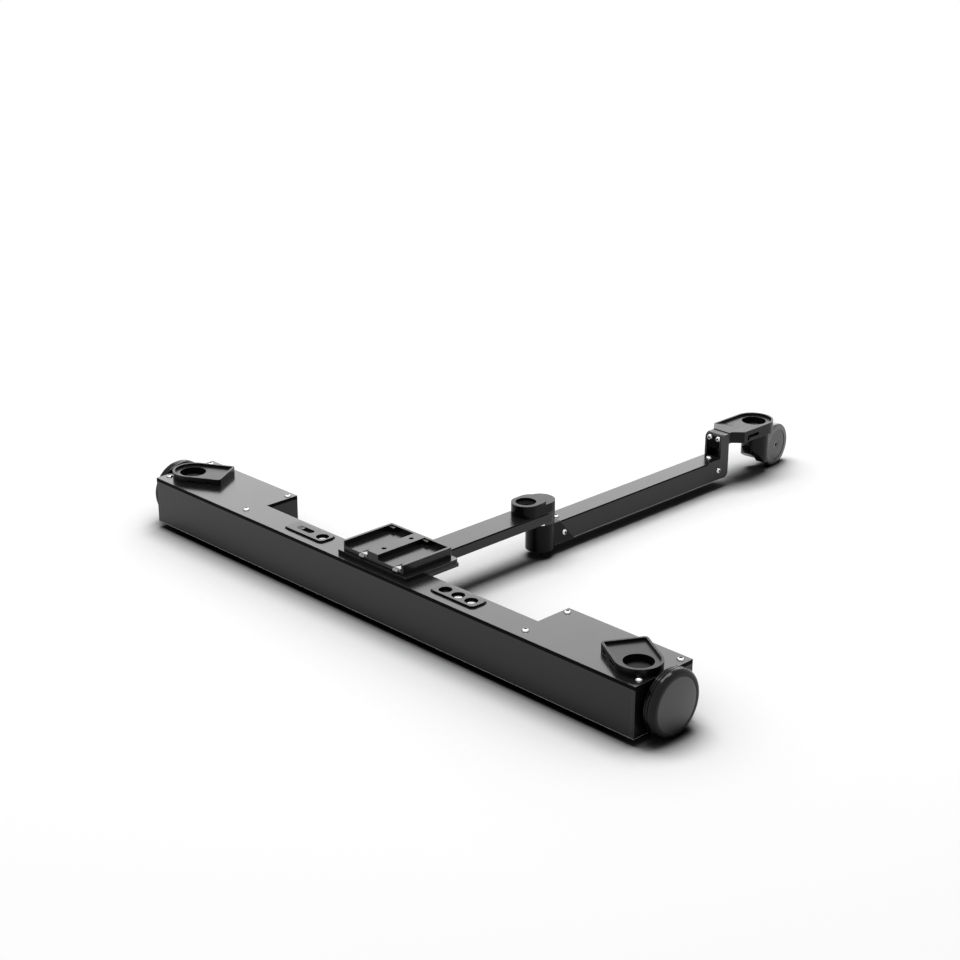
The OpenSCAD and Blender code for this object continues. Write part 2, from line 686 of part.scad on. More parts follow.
// Rear arm and riser
side_screw_rise = 12.7;
side_screw_front = 31.4;
top_screw_front = 30;
rear_side_screw_z = rear_bottom + side_screw_rise;
rear_end_screw_y = riser_y - 7.5;
module rear_arm_screw_frames() {
    for (y = [hinge_y + top_screw_front, rear_end_screw_y]) translate([0, y, rear_top]) children();
    for (s = [-1, 1]) side(s) {
        translate([rear_w / 2, hinge_y + side_screw_front, rear_side_screw_z]) rotate([0, 90, 0]) children();
        translate([rear_w / 2, riser_y - 3.5, rear_side_screw_z + 1.5]) rotate([0, 90, 0]) children();
    }
}
module rear_arm_screw_holes() rear_arm_screw_frames() rod(screw_r + 0.1, -screw_len - 1, cut);
module rear_arm_screws() color("silver") rear_arm_screw_frames() button_screw();
module rear_arm() color("#232427") difference() {
    block([-rear_w / 2, rear_w / 2], [hinge_y, riser_y], [rear_bottom, rear_top]);
    block([-rear_w / 2 + tube_t, rear_w / 2 - tube_t], [0, part_back],
        [rear_bottom + tube_t, rear_top - tube_t]);
    profile_x(-rear_w, rear_w) polygon([[0, rear_bottom - cut],
        [seam_bottom + cut * seam_slope, rear_bottom - cut], [seam_top - cut * seam_slope, rear_top + cut], [0, rear_top + cut]]);
    rear_arm_screw_holes();
}
seam_slope = (seam_bottom - seam_top) / rear_h;
module riser() color("#232427") difference() {
    union() {
        block([-rear_w / 2 + tube_t + 0.1, rear_w / 2 - tube_t - 0.1], [riser_y - plug_len, riser_y + eps],
            [rear_bottom + tube_t + 0.1, rear_top - tube_t - 0.1]);
        difference() {
            profile_x(-rear_w / 2, rear_w / 2) {
                translate([riser_y, rear_bottom])
                    square([riser_d - riser_corner, riser_top - rear_bottom - riser_corner]);
                translate([riser_y, rear_bottom + riser_corner])
                    square([riser_d, riser_top - rear_bottom - 2 * riser_corner]);
                translate([riser_y + riser_corner, rear_bottom + riser_corner])
                    square([riser_d - riser_corner, riser_top - rear_bottom - riser_corner]);
                translate([riser_back - riser_corner, rear_bottom + riser_corner]) circle(riser_corner);
                translate([riser_y + riser_corner, riser_top - riser_corner]) circle(riser_corner);
            }
            block([-rear_w / 2 + riser_cheek, rear_w / 2 - riser_cheek],
                [riser_y - cut, riser_y + riser_sink], [rear_top, riser_top + cut]);
            block([-rear_w / 2 + riser_cheek, rear_w / 2 - riser_cheek],
                [riser_y + riser_sink + riser_plate, riser_back + cut], [rear_bottom_z - 0.1, riser_top + cut]);
            block([-rear_w / 2 + riser_cheek, rear_w / 2 - riser_cheek],
                [riser_y + riser_sink + riser_plate, riser_back - riser_wall], [rear_top, rear_bottom_z]);
            block([-rear_w / 2 + riser_cheek, rear_w / 2 - riser_cheek],
                [riser_y, riser_y + riser_sink + riser_plate + eps], [rear_top, riser_window]);
        }
    }
    for (s = [-1, 1]) translate([s * riser_screw_x, riser_y, riser_screw_z]) rotate([-90, 0, 0])
        rod(screw_r + 0.1, 0, 6);
    rear_arm_screw_holes();
}
module riser_screws() color("silver") for (s = [-1, 1])
    translate([s * riser_screw_x, riser_y + riser_sink, riser_screw_z]) rotate([90, 0, 0]) button_screw(11);

// Caster
module caster_frame() translate([0, swivel_y]) rotate(caster_turn) children();
module rear_wheel_frame() caster_frame() translate([wheel_offset, trail, axle_z]) rotate([0, 90, 0]) children();
module swivel_post() color("silver") translate([0, swivel_y]) {
    rod(flange_r, rear_bottom_z - flange_t, rear_bottom_z);
    rod(post_r, post_end, rear_bottom_z - flange_t + eps);
}
module swivel_bush() color("#b58a4a") translate([0, swivel_y])
    ring(swivel_bush_r, post_r + run_fit, post_end, yoke_top);
module caster_yoke() color("#1f2023") difference() {
    caster_frame() difference() {
        union() {
            rod(yoke_r, yoke_bottom, yoke_top);
            profile_x(cheek_out, cheek_in) {
                translate([trail, axle_z]) circle(cheek_boss_r);
                polygon([[0, yoke_bottom + 1], [trail - 12, yoke_bottom], [trail + 4, axle_z - 9.1],
                    [trail + 7, axle_z + 7.1], [yoke_r - 6, yoke_top], [0, yoke_top]]);
            }
        }
        profile_x(yoke_split, 2 * yoke_r) polygon([[-2 * yoke_r, yoke_bottom - cut],
            [-2 * yoke_r, yoke_bottom + yoke_cut_slope * (2 * yoke_r - yoke_cut_y)],
            [-yoke_cut_y, yoke_bottom], [-yoke_cut_y, yoke_bottom - cut]]);
        profile_x(-2 * yoke_r, yoke_split + eps) {
            polygon(yoke_notch);
            polygon([[-2 * yoke_r, yoke_bottom - cut],
                [-2 * yoke_r, yoke_lip[1] + yoke_lip_slope * (2 * yoke_r + yoke_lip[0])],
                [yoke_lip[0] + (yoke_lip[1] - yoke_bottom) / yoke_lip_slope, yoke_bottom],
                [yoke_lip[0] + (yoke_lip[1] - yoke_bottom) / yoke_lip_slope, yoke_bottom - cut]]);
        }
        rod(swivel_bush_r + 0.02, post_end, yoke_top + cut);
        rod(post_r + 1, post_end - 1, post_end + eps);
    }
    rear_wheel_frame() {
        rod(rear_wheel_d / 2 + 1.5, -rear_wheel_w / 2 - 0.9, rear_wheel_w / 2 + 0.9);
        rod(axle_r + run_fit, -3 * yoke_r, 0);
    }
}
module rear_axle() color("silver") rear_wheel_frame() {
    rod(axle_r, cheek_out - wheel_offset - 0.5, rear_wheel_w / 2 - hub_hole_deep - 0.2);
    rod(axle_r + 2.5, cheek_out - wheel_offset - 2.5, cheek_out - wheel_offset - 0.2);
}
module rear_wheel_hub() color("#55585c") rear_wheel_frame() difference() {
    union() {
        rod(rear_wheel_d / 2 - 8.6, -rear_wheel_w / 2 + 1, rear_wheel_w / 2 - 0.6);
        rod(8, -rear_wheel_w / 2 - 0.6, rear_wheel_w / 2);
    }
    rod(axle_r + run_fit, -rear_wheel_w, rear_wheel_w / 2 - hub_hole_deep);
    rod(hub_hole_r, 0, rear_wheel_w);
    translate([0, 0, rear_wheel_w / 2 + hub_dish_r - 0.9]) sphere(hub_dish_r);
}
// Tread profile: radius against distance along the axle
function tyre_points(r_in, r_out, z0, z1, r_shoulder) = concat(
    [[r_in, z0], [r_out - 2, z0], [r_out - 0.6, z0 + 0.5], [r_out, z0 + 1.6]],
    [for (a = [0:15:90]) [r_out - r_shoulder + r_shoulder * cos(a), z1 - r_shoulder + r_shoulder * sin(a)]],
    [[r_in, z1]]);
module rear_tyre() color("#2b2b2d") rear_wheel_frame() rotate_extrude()
    polygon(tyre_points(rear_wheel_d / 2 - 8.5, rear_wheel_d / 2, -rear_wheel_w / 2, rear_wheel_w / 2,
        rear_shoulder));

// Drive wheels
module drive_hub() color("#3a3c40") wheel_frame() difference() {
    union() {
        rod(hub_cap_r - 0.1, wheel_out - 5, wheel_out - 0.6);
        ring(hub_cap_r - 0.1, hub_cap_r - 4, wheel_in + 0.6, wheel_out - 1);
        rod(9, end_x + 0.5, wheel_out - 1);
        for (a = [0:60:300]) rotate(a) block([8, hub_cap_r - 3], [-1.5, 1.5], [wheel_in + 2, wheel_out - 4]);
    }
    rod(shaft_r + 0.02, end_x - cut, wheel_out - 3);
}
module drive_tyre() color("#2b2b2d") wheel_frame() difference() {
    rotate_extrude() polygon(tyre_points(hub_cap_r, wheel_r, wheel_in, wheel_out, 6));
    for (z = [3.1, 6.3]) ring(wheel_r + cut, wheel_r - 1.4, wheel_in + z, wheel_in + z + 1);
}
// Height of the hub cap's dome at a distance from its middle
function dome_z(r) = wheel_out - 0.2 + hub_cap_dome * (1 - pow(r / hub_cap_r, 2));
module hub_cap() color("#34363a") wheel_frame() rotate_extrude()
    polygon(concat([[0, wheel_out - 0.55], [hub_cap_r, wheel_out - 0.55]],
        [for (i = [8:-1:0]) [hub_cap_r * i / 8, dome_z(hub_cap_r * i / 8)]]));
module drive_shaft() color("silver") wheel_frame() rod(shaft_r, motor_face - motor_grip + 1, wheel_out - 3.2);
module wheel_bearing() color("silver") wheel_frame()
    ring(bearing_r, shaft_r + run_fit, shell_x - bearing_w, shell_x);
module gear_motor() color("#6d7075") wheel_frame() difference() {
    union() {
        rod(motor_r, motor_face - 22, motor_face);
        rod(motor_r - 1, motor_face - motor_len, motor_face - 22);
        rod(5, motor_face - motor_len - 3, motor_face - motor_len + eps);
    }
    rod(shaft_r + run_fit, motor_face - motor_grip, motor_face + cut);
    for (a = [45:90:315]) rotate(a) translate([motor_r - 3.5, 0]) rod(1.3, motor_face - 5, motor_face + cut);
}
module motor_screws() color("silver") for (s = [-1, 1]) side(s) wheel_frame()
    for (a = [45:90:315]) rotate(a) translate([motor_r - 3.5, 0]) rod(1.2, motor_face - 4.5, motor_face + 6.5);

// Electronics
board_x = 38;
board_posts_x = [-33, 33];
board_posts_y = [9, mid_depth - 13];
board_z = wall + 8;
module control_board() color("#1f5a3a") {
    difference() {
        block([-board_x, board_x], [6, mid_depth - 10], [board_z, board_z + 1.6]);
        for (x = board_posts_x, y = board_posts_y) translate([x, y]) rod(1.3, 0, beam_h);
    }
    block([-9, 7], [12, 27], [board_z + 1.6 - eps, board_z + 4.6]);
    block([12, 28], [13, 25], [board_z + 1.6 - eps, board_z + 9]);
    block([-28, -15], [11, 25], [board_z + 1.6 - eps, board_z + 11]);
}
module board_standoffs() color("#c9a24a") for (x = board_posts_x, y = board_posts_y)
    translate([x, y]) {
        rod(2.8, wall, board_z);
        rod(1.2, wall - 1.8, board_z + 3);
    }

place() beam_shell();
place() top_cover();
place() cover_screws();
place() side(-1) end_plate();  // end_plate_left
place() end_plate();  // end_plate_right
place() side(-1) front_cup();  // foot_cup_left
place() front_cup();  // foot_cup_right
place() foot_cup_rear();
place() translate([-cup_x, cup_y]) foot_pad(cup_floor);  // foot_pad_left
place() translate([cup_x, cup_y]) foot_pad(cup_floor);  // foot_pad_right
place() translate([0, rear_cup_y]) foot_pad(rear_floor);  // foot_pad_rear
place() control_panel_left();
place() control_panel_right();
place() power_switch_knob();
place()  // left_button
    translate([left_button_x - panel_x, panel_y]) push_button();
place() translate([panel_x, panel_y]) push_button();  // right_button_inner
place()  // right_button_outer
    translate([panel_x + control_pitch, panel_y]) push_button();
place() base_plate();
place() base_plate_screws();
place() battery_tray();
place() battery_terminals();
place() tray_screws();
place() battery_latch(-1);  // battery_latch_left
place() battery_latch(1);  // battery_latch_right
place() arm_clamp();
place() arm_bolts();
place() front_arm();
place() hinge_cap();
place() hinge_pin();
place() thrust_washer();
place() fold_stop();
place() lock_button();
place() hinge_barrel();
place() hinge_bush();
place() rear_arm();
place() rear_arm_screws();
place() riser();
place() riser_screws();
place() swivel_post();
place() swivel_bush();
place() caster_yoke();
place() rear_axle();
place() rear_wheel_hub();
place() rear_tyre();
place() side(-1) drive_hub();  // drive_hub_left
place() drive_hub();  // drive_hub_right
place() side(-1) drive_tyre();  // drive_tyre_left
place() drive_tyre();  // drive_tyre_right
place() side(-1) hub_cap();  // hub_cap_left
place() hub_cap();  // hub_cap_right
place() side(-1) drive_shaft();  // drive_shaft_left
place() drive_shaft();  // drive_shaft_right
place() side(-1) wheel_bearing();  // wheel_bearing_left
place() wheel_bearing();  // wheel_bearing_right
place() side(-1) gear_motor();  // gear_motor_left
place() gear_motor();  // gear_motor_right
place() motor_screws();
place() control_board();
place() board_standoffs();
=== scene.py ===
import json
import math
import bpy
import bmesh
from mathutils import Matrix, Vector


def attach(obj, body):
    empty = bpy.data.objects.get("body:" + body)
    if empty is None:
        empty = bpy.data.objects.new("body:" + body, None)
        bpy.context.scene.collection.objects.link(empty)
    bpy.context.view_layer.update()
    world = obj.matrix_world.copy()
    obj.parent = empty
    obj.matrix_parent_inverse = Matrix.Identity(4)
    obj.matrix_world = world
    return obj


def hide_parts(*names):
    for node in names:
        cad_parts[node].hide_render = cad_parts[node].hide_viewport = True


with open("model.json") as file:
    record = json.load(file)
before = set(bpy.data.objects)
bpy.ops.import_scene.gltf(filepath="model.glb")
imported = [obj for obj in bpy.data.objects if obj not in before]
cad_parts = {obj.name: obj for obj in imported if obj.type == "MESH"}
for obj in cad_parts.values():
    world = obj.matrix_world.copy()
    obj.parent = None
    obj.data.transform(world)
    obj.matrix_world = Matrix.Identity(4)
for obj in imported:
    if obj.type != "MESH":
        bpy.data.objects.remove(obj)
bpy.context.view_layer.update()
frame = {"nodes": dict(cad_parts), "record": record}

nodes = frame["nodes"]
scene = bpy.context.scene
scene.view_settings.view_transform = "Standard"
mm = 0.001
weld = 1e-6     # metres between vertices of a CAD node that are one


# Camera

cameraSettings = {
    "place": (1.5580, -1.7621, 0.9761),
    "yaw": -0.79130,
    "pitch": 0.36688,
    "roll": -0.00410,
    "lens": 70.52,
    "sensor": 36.0,
    "farthest": 50,
}


def addCamera(s):
    look = Vector((math.sin(s["yaw"]) * math.cos(s["pitch"]),
                   math.cos(s["yaw"]) * math.cos(s["pitch"]),
                   -math.sin(s["pitch"])))
    right = Vector((math.cos(s["yaw"]), -math.sin(s["yaw"]), 0))
    down = look.cross(right)
    rolledRight = right * math.cos(s["roll"]) + down * math.sin(s["roll"])
    rolledUp = right * math.sin(s["roll"]) - down * math.cos(s["roll"])
    turn = Matrix((rolledRight, rolledUp, -look)).transposed()
    data = bpy.data.cameras.new("photoCamera")
    data.lens = s["lens"]
    data.sensor_width = s["sensor"]
    data.clip_end = s["farthest"]
    camera = bpy.data.objects.new("photoCamera", data)
    camera.matrix_world = Matrix.Translation(s["place"]) @ turn.to_4x4()
    scene.collection.objects.link(camera)
    scene.camera = camera


addCamera(cameraSettings)
print("camera placed")


# Floor and light

studio = {
    "floorSize": 60.0,
    "floorLit": 0.80,       # the floor's tone to the dolly, and to the camera and to gloss
    "floorSeen": 1.0,
    "floorRough": 0.9,
    "shadeReach": 0.26,
    "shadePower": 1.15,
    "contactReach": 0.014,
    # How open the floor is where it is darkest and where it is clear, then the darkest tone
    "contactTones": (0.42, 0.95, 0.04),
    "whiteFrom": 0.55,
    "whiteTo": 1.5,
    "skySeen": 1.0,
    "skyLight": 0.06,
    "lamps": {
        # The main light, overhead and a little left, which leaves dark shadows under the arms
        "over": {"place": (-0.50, 0.15, 3.6), "size": (2.8, 2.2), "power": 163.0},
        # A card that only gloss sees, for the grey on the tops
        "card": {"place": (-4.6, 5.2, 2.9), "size": (7.6, 4.2), "power": 205.0, "matte": False},
    },
    "aim": (0, 0, 0),
}


def addNode(tree, kind, inputs=None, **settings):
    node = tree.nodes.new(kind)
    for name, value in settings.items():
        setattr(node, name, value)
    for name, value in (inputs or {}).items():
        node.inputs[name].default_value = value
    return node


def cameraOrGlossy(tree):
    rays = tree.nodes.new("ShaderNodeLightPath")
    first = addNode(tree, "ShaderNodeMath", operation="MAXIMUM")
    both = addNode(tree, "ShaderNodeMath", operation="MAXIMUM")
    tree.links.new(rays.outputs["Is Camera Ray"], first.inputs[0])
    tree.links.new(rays.outputs["Is Glossy Ray"], first.inputs[1])
    tree.links.new(first.outputs[0], both.inputs[0])
    tree.links.new(rays.outputs["Is Transmission Ray"], both.inputs[1])
    return both.outputs[0]


def addStudio(s):
    world = bpy.data.worlds.new("studioSky")
    world.use_nodes = True
    tree = world.node_tree
    sky = tree.nodes["Background"]
    seen = addNode(tree, "ShaderNodeMapRange", {"To Min": s["skyLight"], "To Max": s["skySeen"]})
    tree.links.new(cameraOrGlossy(tree), seen.inputs["Value"])
    tree.links.new(seen.outputs[0], sky.inputs["Strength"])
    sky.inputs["Color"].default_value = (1, 1, 1, 1)
    scene.world = world

    floorMesh = bpy.data.meshes.new("studioFloor")
    half = s["floorSize"] / 2
    corners = [(-half, -half, 0), (half, -half, 0), (half, half, 0), (-half, half, 0)]
    floorMesh.from_pydata(corners, [], [(0, 1, 2, 3)])
    floor = bpy.data.objects.new("studioFloor", floorMesh)
    scene.collection.objects.link(floor)
    paint = bpy.data.materials.new("paleFloor")
    paint.use_nodes = True
    tree = paint.node_tree
    shader = tree.nodes["Principled BSDF"]
    shader.inputs["Roughness"].default_value = s["floorRough"]
    shader.inputs["Specular IOR Level"].default_value = 0.0
    seen = cameraOrGlossy(tree)
    tone = addNode(tree, "ShaderNodeMapRange", {"To Min": s["floorLit"], "To Max": s["floorSeen"]})
    tree.links.new(seen, tone.inputs["Value"])
    # Soft shade around the dolly, and near black where it almost touches
    near = addNode(tree, "ShaderNodeAmbientOcclusion", {"Distance": s["shadeReach"]})
    soft = addNode(tree, "ShaderNodeMath", operation="POWER")
    soft.inputs[1].default_value = s["shadePower"]
    tree.links.new(near.outputs["AO"], soft.inputs[0])
    touching = addNode(tree, "ShaderNodeAmbientOcclusion", {"Distance": s["contactReach"]})
    closed, clear, darkest = s["contactTones"]
    contact = addNode(tree, "ShaderNodeMapRange",
                      {"From Min": closed, "From Max": clear, "To Min": darkest})
    tree.links.new(touching.outputs["AO"], contact.inputs["Value"])
    bothShades = addNode(tree, "ShaderNodeMath", operation="MULTIPLY")
    tree.links.new(soft.outputs[0], bothShades.inputs[0])
    tree.links.new(contact.outputs[0], bothShades.inputs[1])
    shaded = addNode(tree, "ShaderNodeMath", operation="MULTIPLY")
    tree.links.new(bothShades.outputs[0], shaded.inputs[0])
    tree.links.new(tone.outputs[0], shaded.inputs[1])
    tree.links.new(shaded.outputs[0], shader.inputs["Base Color"])
    # Pure white far out, only as seen
    where = tree.nodes.new("ShaderNodeTexCoord")
    away = addNode(tree, "ShaderNodeVectorMath", operation="LENGTH")
    tree.links.new(where.outputs["Object"], away.inputs[0])
    far = addNode(tree, "ShaderNodeMapRange", interpolation_type="SMOOTHSTEP",
                  inputs={"From Min": s["whiteFrom"], "From Max": s["whiteTo"]})
    tree.links.new(away.outputs["Value"], far.inputs["Value"])
    farSeen = addNode(tree, "ShaderNodeMath", operation="MULTIPLY")
    tree.links.new(far.outputs[0], farSeen.inputs[0])
    tree.links.new(seen, farSeen.inputs[1])
    white = addNode(tree, "ShaderNodeEmission", {"Strength": 1.0})
    mixed = tree.nodes.new("ShaderNodeMixShader")
    tree.links.new(farSeen.outputs[0], mixed.inputs[0])
    tree.links.new(shader.outputs[0], mixed.inputs[1])
    tree.links.new(white.outputs[0], mixed.inputs[2])
    tree.links.new(mixed.outputs[0], tree.nodes["Material Output"].inputs["Surface"])
    floorMesh.materials.append(paint)

    for name, lampSettings in s["lamps"].items():
        lampData = bpy.data.lights.new(name + "Softbox", "AREA")
        lampData.shape = "RECTANGLE"
        lampData.size, lampData.size_y = lampSettings["size"]
        lampData.energy = lampSettings["power"]
        lamp = bpy.data.objects.new(name + "Softbox", lampData)
        lamp.location = lampSettings["place"]
        lamp.visible_diffuse = lampSettings.get("matte", True)
        away = Vector(lampSettings["place"]) - Vector(s["aim"])
        lamp.rotation_euler = away.to_track_quat("Z", "Y").to_euler()
        scene.collection.objects.link(lamp)


addStudio(studio)
print("studio lit")


# Finishes

# In a finish, wear and wearAndGlintWidth give a pale edge tone and its width: part wear, part
# painted highlight
finishes = {
    "beamBlack": {"color": 0.006, "rough": 0.24, "ior": 1.40, "grain": 900, "bump": 0.03,
                  "edge": 0.40, "wearAndGlint": 0.12, "wearAndGlintWidth": 0.5},
    "coverBlack": {"color": 0.006, "rough": 0.20, "ior": 1.42, "grain": 900, "bump": 0.02,
                   "edge": 0.30, "wearAndGlint": 0.12, "wearAndGlintWidth": 0.6},
    "cupBlack": {"color": 0.005, "rough": 0.28, "ior": 1.26, "grain": 1100, "bump": 0.04,
                 "edge": 0.45, "wearAndGlint": 0.12, "wearAndGlintWidth": 0.6},
    "panelBlack": {"color": 0.004, "rough": 0.20, "ior": 1.35, "grain": 1400, "bump": 0.04,
                   "edge": 0.3, "wearAndGlint": 0.10, "wearAndGlintWidth": 0.5},
    "hubBlack": {"color": 0.075, "rough": 0.20, "metal": 1.0, "grain": 700, "bump": 0.02,
                 "edge": 0.3},
    "rollerHub": {"color": 0.006, "rough": 0.24, "ior": 1.40, "grain": 700, "bump": 0.02,
                  "edge": 0.3},
    "armBlack": {"color": 0.006, "rough": 0.22, "ior": 1.36, "grain": 900, "bump": 0.03,
                 "edge": 0.40, "wearAndGlint": 0.10, "wearAndGlintWidth": 0.5},
    "tyreRubber": {"color": 0.003, "rough": 0.12, "ior": 1.28, "grain": 1600, "bump": 0.04,
                   "edge": 0.25},
    "rollerRubber": {"color": 0.03, "rough": 0.16, "ior": 1.75, "grain": 1600, "bump": 0.04,
                     "edge": 0.25},
    "hingeBlack": {"color": 0.003, "rough": 0.24, "ior": 1.21, "grain": 1000, "bump": 0.03,
                   "edge": 0.4, "wearAndGlint": 0.10, "wearAndGlintWidth": 0.5},
    # Near black with little reflection, put where there is only shade: painted shade
    "paintedShadeBlack": {"color": 0.002, "rough": 0.60, "ior": 1.12, "grain": 900, "bump": 0.05,
                    "edge": 0.2},
    # A pale finish for thin strips along lower edges: painted highlight
    "paintedGlint": {"color": 0.40, "rough": 0.35, "ior": 1.5, "grain": 900, "bump": 0.03,
                 "edge": 0.1},
    "padRubber": {"color": 0.006, "rough": 0.60, "ior": 1.4, "grain": 1300, "bump": 0.20,
                  "edge": 0.3},
    "darkSteel": {"color": 0.05, "rough": 0.35, "metal": 1.0, "grain": 600, "bump": 0.03,
                  "edge": 0.2},
    "brightSteel": {"color": 0.72, "rough": 0.20, "metal": 1.0, "grain": 600, "bump": 0.02,
                    "edge": 0.2},
    "buttonMetal": {"color": 0.46, "rough": 0.18, "metal": 1.0, "grain": 500, "bump": 0.01,
                    "edge": 0.2},
    "latchMetal": {"color": 0.28, "rough": 0.28, "metal": 1.0, "grain": 500, "bump": 0.02,
                   "edge": 0.2},
    "socketShade": {"color": 0.012, "rough": 0.45, "ior": 1.35, "grain": 700, "bump": 0.02,
                    "edge": 0.2},
    "motorGrey": {"color": 0.40, "rough": 0.35, "metal": 1.0, "grain": 500, "bump": 0.05,
                  "edge": 0.3},
}
tints = {
    "bronze": {"tint": (0.55, 0.36, 0.17), "rough": 0.30, "metal": 1.0,
               "grain": 500, "bump": 0.05, "edge": 0.2},
    "contactPlate": {"tint": (0.05, 0.047, 0.04), "rough": 0.30, "metal": 1.0,
                     "grain": 500, "bump": 0.02, "edge": 0.15},
    "boardGreen": {"tint": (0.02, 0.13, 0.06), "rough": 0.30, "ior": 1.5,
                   "grain": 400, "bump": 0.06, "edge": 0.1},
}
# What all finishes share
surface = {
    "cloud": {"Scale": 14.0, "Detail": 5.0, "Roughness": 0.6},
    "toneChange": (0.86, 1.14),
    "roughChange": (0.85, 1.18),
    "wearAndGlintRange": (0.86, 0.50),
    "wearAndGlintSamples": 6,
    "edgeSamples": 4,
    "grainDepth": 0.2,
    "grainDetail": 2.0,
}


def makeFinish(name, s):
    paint = bpy.data.materials.new(name)
    paint.use_nodes = True
    tree = paint.node_tree
    shader = tree.nodes["Principled BSDF"]
    shade = s.get("tint", (s.get("color"),) * 3)
    shader.inputs["Metallic"].default_value = s.get("metal", 0.0)
    shader.inputs["IOR"].default_value = s.get("ior", 1.5)
    where = tree.nodes.new("ShaderNodeTexCoord")
    # Broad, faint change of tone and gloss, as on a handled surface
    cloud = addNode(tree, "ShaderNodeTexNoise", surface["cloud"])
    tree.links.new(where.outputs["Object"], cloud.inputs["Vector"])
    tone = addNode(tree, "ShaderNodeMix", data_type="RGBA")
    for side, change in zip("AB", surface["toneChange"]):
        tone.inputs[side].default_value = tuple(min(1.0, change * c) for c in shade) + (1,)
    tree.links.new(cloud.outputs["Fac"], tone.inputs["Factor"])
    # Outer edges painted paler, as wear and as a painted highlight along them, found by how soon a
    # ray into the solid comes out again
    if "wearAndGlint" in s:
        within = addNode(tree, "ShaderNodeAmbientOcclusion", {"Distance": s["wearAndGlintWidth"] * mm},
                         inside=True, only_local=True, samples=surface["wearAndGlintSamples"])
        whole, gone = surface["wearAndGlintRange"]
        wornAndGlinting = addNode(tree, "ShaderNodeMapRange", {"From Min": whole, "From Max": gone})
        tree.links.new(within.outputs["AO"], wornAndGlinting.inputs["Value"])
        edged = addNode(tree, "ShaderNodeMix", data_type="RGBA")
        edged.inputs["B"].default_value = (s["wearAndGlint"],) * 3 + (1,)
        tree.links.new(tone.outputs["Result"], edged.inputs["A"])
        tree.links.new(wornAndGlinting.outputs[0], edged.inputs["Factor"])
        tone = edged
    tree.links.new(tone.outputs["Result"], shader.inputs["Base Color"])
    smooth, dull = (s["rough"] * change for change in surface["roughChange"])
    gloss = addNode(tree, "ShaderNodeMapRange", {"To Min": smooth, "To Max": dull})
    tree.links.new(cloud.outputs["Fac"], gloss.inputs["Value"])
    tree.links.new(gloss.outputs[0], shader.inputs["Roughness"])
    # Fine blasted grain over edges that catch the light
    speck = addNode(tree, "ShaderNodeTexNoise",
                    {"Scale": float(s["grain"]), "Detail": surface["grainDetail"]})
    tree.links.new(where.outputs["Object"], speck.inputs["Vector"])
    rim = addNode(tree, "ShaderNodeBevel", {"Radius": s["edge"] * mm},
                  samples=surface["edgeSamples"])
    grain = addNode(tree, "ShaderNodeBump",
                    {"Strength": s["bump"], "Distance": surface["grainDepth"] * mm})
    tree.links.new(speck.outputs["Fac"], grain.inputs["Height"])
    tree.links.new(rim.outputs["Normal"], grain.inputs["Normal"])
    tree.links.new(grain.outputs["Normal"], shader.inputs["Normal"])
    return paint


paints = {name: makeFinish(name, s) for name, s in {**finishes, **tints}.items()}
slotPaints = {
    "beam_black": "beamBlack", "cover_black": "coverBlack", "cup_black": "cupBlack",
    "panel_black": "panelBlack", "bright_steel": "brightSteel", "button_metal": "buttonMetal",
    "dark_steel": "darkSteel", "bronze": "bronze", "gold_contact": "contactPlate",
    "pad_rubber": "padRubber", "tyre_rubber": "tyreRubber", "hub_black": "hubBlack",
    "motor_grey": "motorGrey", "board_green": "boardGreen",
}
# Nodes whose finish differs from the rest of their slot
nodePaints = {
    # The lock button takes the painted shade black, so its recess reads as shaded
    "power_switch_knob": "darkSteel", "lock_button": "paintedShadeBlack", "rear_hub": "rollerHub",
    "rear_tyre": "rollerRubber", "hinge_cap": "hingeBlack", "hinge_barrel": "hingeBlack",
    "front_arm": "armBlack", "rear_arm": "armBlack",
    "battery_latch_left": "latchMetal", "battery_latch_right": "latchMetal",
}
slotOf = {part["node"]: part["material_slot"] for part in frame["record"]["subparts"]}
for node, thing in nodes.items():
    paint = paints[nodePaints.get(node, slotPaints[slotOf[node]])]
    if thing.material_slots:
        for place in thing.material_slots:
            place.material = paint
    else:
        thing.data.materials.append(paint)
print("finishes on", len(nodes), "nodes")


# Button head screws, set along each body by one tree

screw = {
    "size": 1.0,
    "headRadius": 3.8,
    "headHeight": 2.2,
    "rimShare": 0.30,           # how much of the height is the straight rim under the dome
    "shadeRingRadius": 4.5,
    "shadeRingHeight": 0.12,
    "sunk": 0.02,
    "socketRadius": 1.95,
    "socketDepth": 1.6,
    "mouth": (1.10, 0.15),      # how much wider the socket starts, and how deep that goes
    "domeAngle": 62,
    "domeSteps": 7,
    "sides": 48,
    "spin": (0.7, 1.9),         # how far the first is turned, and each one after it
    "wideFrom": 0.9,            # past this share of its radius, a vertex is on the head
}
screwNodes = {"beam": ["cover_screws"], "rear_section": ["rear_arm_screws", "riser_screws"]}


